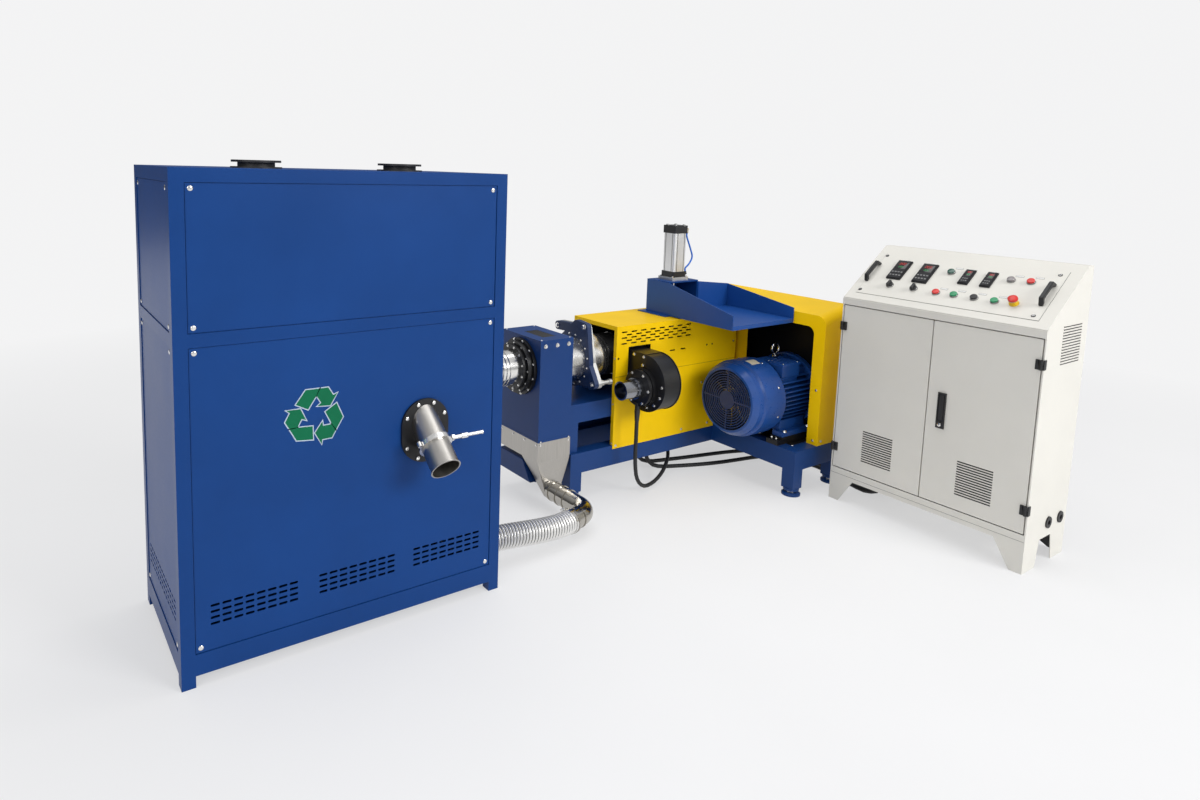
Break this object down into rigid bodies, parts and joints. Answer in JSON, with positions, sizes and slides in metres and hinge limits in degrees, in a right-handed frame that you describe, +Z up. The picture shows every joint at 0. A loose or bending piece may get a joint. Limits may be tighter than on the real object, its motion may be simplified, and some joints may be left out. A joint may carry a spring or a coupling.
{
  "type": "waterless plastic pelletizing plant",
  "caption": "Waterless pelletizing plant: L-shaped pelletizer with heated barrel, die-face cutter, feed tray and motor, joined by a hose to a ducted pellet cabinet, with a sloped control desk",
  "frame": {"origin": "centre of the footprint of the whole plant, on the floor", "axes": "+X runs along the barrel from the die head to the motor's drive guard, +Y from the cabinet's front to its back, +Z up"},
  "size_m": [3.655, 2.018, 1.728],
  "materials": {
    "blue_frame": "satin enamel",
    "blue_panel": "satin powder coat",
    "blue_machine": "satin enamel",
    "black_plastic": "matt",
    "black_paint": "satin black",
    "stainless": "brushed",
    "polished_steel": "polished",
    "hose_steel": "corrugated, bright",
    "machined_steel": "turned",
    "navy_cast": "dark blue enamel over casting",
    "cast_silver": "cast, machined",
    "heater_black": "dull black",
    "yellow_paint": "satin powder coat",
    "cable_rubber": "matt",
    "ram_aluminium": "anodised",
    "air_blue": "gloss",
    "motor_blue": "satin enamel over casting",
    "fan_plastic": "matt",
    "grey_paint": "fine texture powder coat",
    "instrument": "semi-gloss",
    "chrome_trim": "satin chrome"
  },
  "bodies": {
    "plant": {"cabinet_frame": "blue_frame", "front_panels": "blue_panel", "side_and_back_panels": "blue_panel", "duct_ports": "black_plastic", "outlet_flange": "black_paint", "outlet_pipe": "stainless", "outlet_clamp": "polished_steel", "hose_inlet": "blue_panel", "base_frame": "blue_machine", "support_table": "blue_machine", "cutter_housing": "blue_machine", "cutter_flange": "black_paint", "cutter_motor": "polished_steel", "discharge_chute": "stainless", "chute_elbow": "stainless", "transfer_hose": "hose_steel", "die_head": "machined_steel", "clamp_plate": "navy_cast", "hinge_plate": "cast_silver", "barrel": "heater_black", "barrel_cover": "yellow_paint", "blower_housing": "black_paint", "blower_flange": "black_paint", "blower_ring": "polished_steel", "blower_cable": "cable_rubber", "cable_entry": "black_plastic", "feed_tray": "blue_panel", "feed_box": "blue_panel", "ram_cylinder": "ram_aluminium", "ram_base": "cast_silver", "air_fittings": "black_plastic", "air_tube": "air_blue", "fan_cover": "motor_blue", "fan_grille": "motor_blue", "motor_body": "motor_blue", "motor_feet": "motor_blue", "terminal_box": "motor_blue", "lifting_eye": "polished_steel", "motor_base": "black_paint", "drive_guard": "yellow_paint", "supply_cable_front": "cable_rubber", "supply_cable_rear": "cable_rubber", "console_body": "grey_paint", "console_feet": "grey_paint", "console_hinges": "black_plastic", "bridge_handles": "black_plastic", "controllers": "instrument", "push_buttons": "chrome_trim", "cable_glands": "black_plastic"},
    "left_door_set": {"left_door": "grey_paint", "left_door_leaves": "black_plastic"},
    "right_door_set": {"right_door": "grey_paint", "right_door_leaves": "black_plastic", "door_lock": "black_plastic"},
    "ram": {"ram_plunger": "polished_steel"},
    "fan": {"motor_fan": "fan_plastic"}
  },
  "joints": [
    {"name": "left_door_hinge", "type": "hinge", "parent": "plant", "child": "left_door_set", "pos_m": [1.4145, -0.0505, 0.3], "axis": [0, 0, -1], "range_deg": [0, 110]},
    {"name": "right_door_hinge", "type": "hinge", "parent": "plant", "child": "right_door_set", "pos_m": [1.4145, -0.9945, 0.3], "axis": [0, 0, 1], "range_deg": [0, 110]},
    {"name": "ram_slide", "type": "slide", "parent": "plant", "child": "ram", "axis": [0, 0, -1], "range_m": [-0.09, 0.07]},
    {"name": "fan_spin", "type": "hinge", "parent": "plant", "child": "fan", "pos_m": [1.0285, 0.364, 0.49], "axis": [1, 0, 0], "continuous": true}
  ]
}
